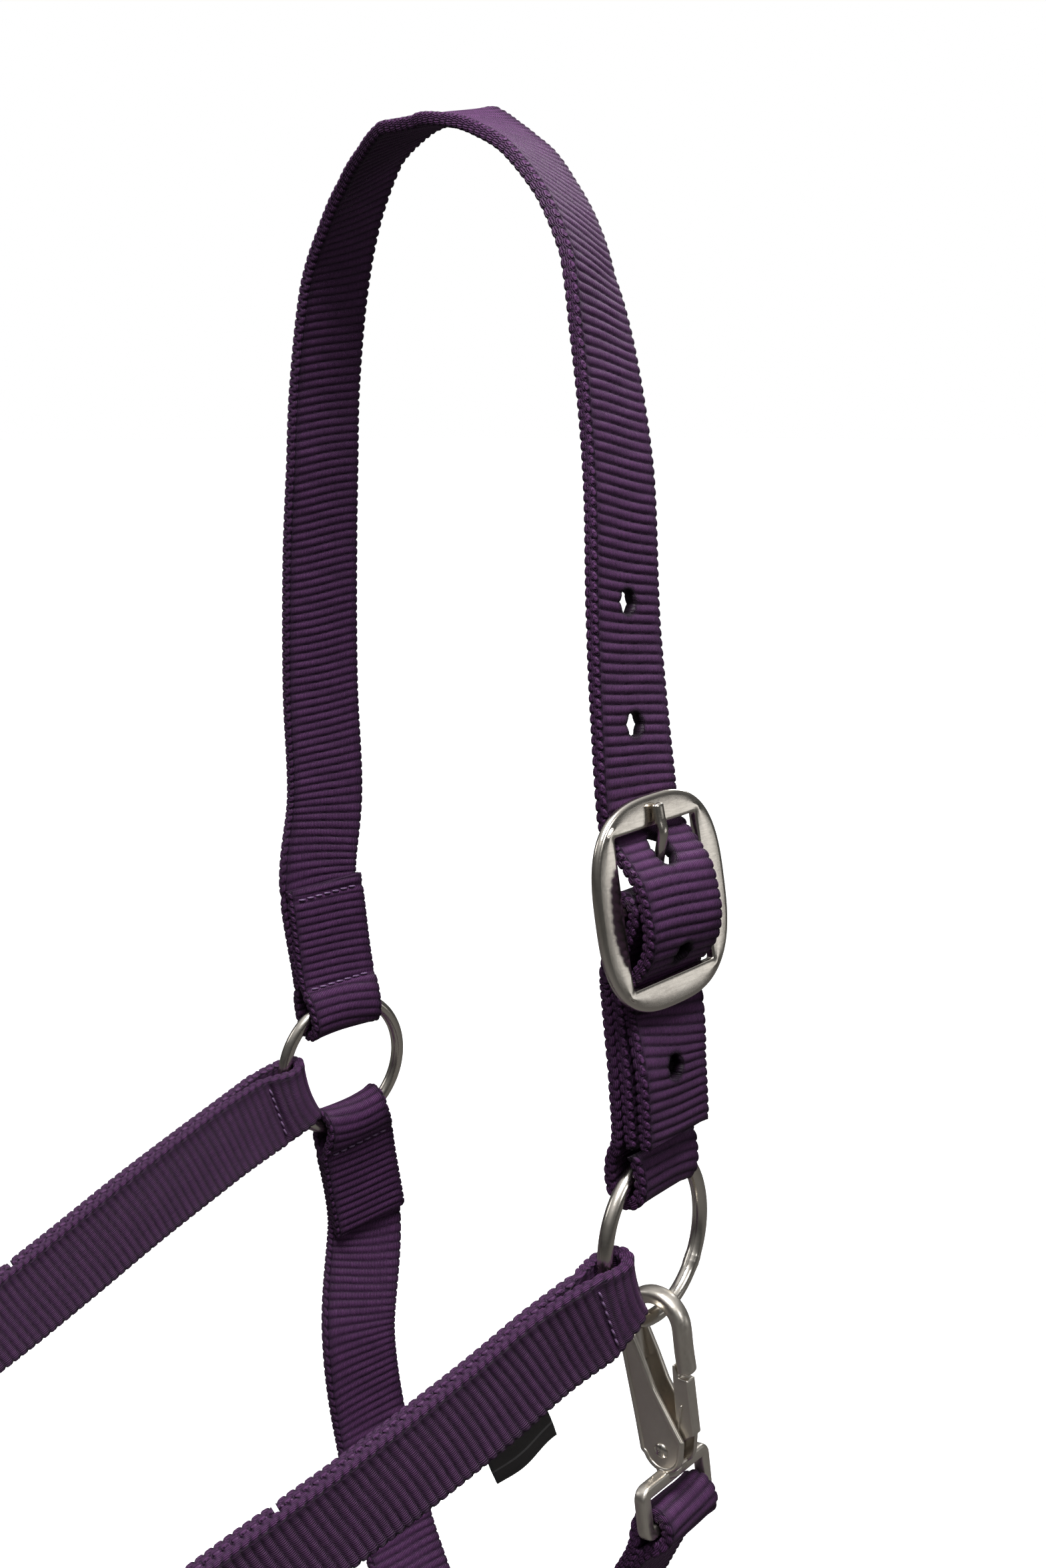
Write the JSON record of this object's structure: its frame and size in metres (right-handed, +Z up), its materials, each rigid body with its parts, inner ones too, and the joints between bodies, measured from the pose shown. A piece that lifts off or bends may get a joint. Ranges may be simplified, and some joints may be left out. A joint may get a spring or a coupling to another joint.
{
  "type": "halter",
  "caption": "Horse halter of flat nylon webbing in its worn shape, with a crown buckle, round and square rings, and a lever snap that opens the throat strap.",
  "frame": {"origin": "middle of the crown strap's inner face at the top of the arch, where the halter rests on the horse's poll", "axes": "+X to the horse's left (the buckle side), -Y to its nose, +Z up"},
  "size_m": [0.1661, 0.2505, 0.4336],
  "materials": {
    "webbing": "dyed ribbed nylon webbing with a looped selvedge",
    "label_cloth": "woven satin label, folded and sewn in",
    "plated_steel": "polished nickel plate",
    "plated_casting": "nickel-plated casting, softly rounded"
  },
  "bodies": {
    "crown": {"crown_strap": "webbing", "buckle_frame": "plated_steel", "chape_strap": "webbing"},
    "near_ring": {"near_upper_ring": "plated_steel"},
    "far_ring": {"far_upper_ring": "plated_steel"},
    "tongue": {"buckle_tongue": "plated_steel"},
    "lower": {"near_cheek_strap": "webbing", "far_cheek_strap": "webbing", "throat_strap": "webbing", "noseband": "webbing", "near_chin_strap": "webbing", "far_chin_strap": "webbing", "jaw_strap": "webbing", "label": "label_cloth", "near_square_ring": "plated_steel", "far_square_ring": "plated_steel", "snap_body": "plated_casting", "snap_rivet": "plated_steel", "snap_spring": "plated_steel"},
    "gate": {"snap_gate": "plated_casting"},
    "lead": {"lead_ring": "plated_steel"}
  },
  "joints": [
    {"name": "near_ring_turn", "type": "hinge", "parent": "crown", "child": "near_ring", "pos_m": [0.0872, -0.00564, -0.25862], "axis": [0.9763, 0.2106, 0.0499], "continuous": true},
    {"name": "far_ring_turn", "type": "hinge", "parent": "crown", "child": "far_ring", "pos_m": [-0.0552, 0.00316, -0.25862], "axis": [0.999, -0.02, -0.04], "continuous": true},
    {"name": "tongue_lift", "type": "hinge", "parent": "crown", "child": "tongue", "pos_m": [0.08682, -0.00575, -0.17628], "axis": [-0.1006, 0.9933, 0.057], "range_deg": [0, 5]},
    {"name": "lower_swing", "type": "hinge", "parent": "crown", "child": "lower", "pos_m": [0.016, -0.00124, -0.25862], "axis": [0.9981, -0.0617, 0], "range_deg": [-5, 5]},
    {"name": "gate_open", "type": "hinge", "parent": "lower", "child": "gate", "pos_m": [0.0924, -0.00454, -0.31142], "axis": [0.2111, -0.9775, 0], "range_deg": [0, 18]},
    {"name": "lead_ring_turn", "type": "hinge", "parent": "lower", "child": "lead", "pos_m": [0.003, -0.16524, -0.41062], "axis": [0, -0.1005, -0.9949], "continuous": true}
  ]
}
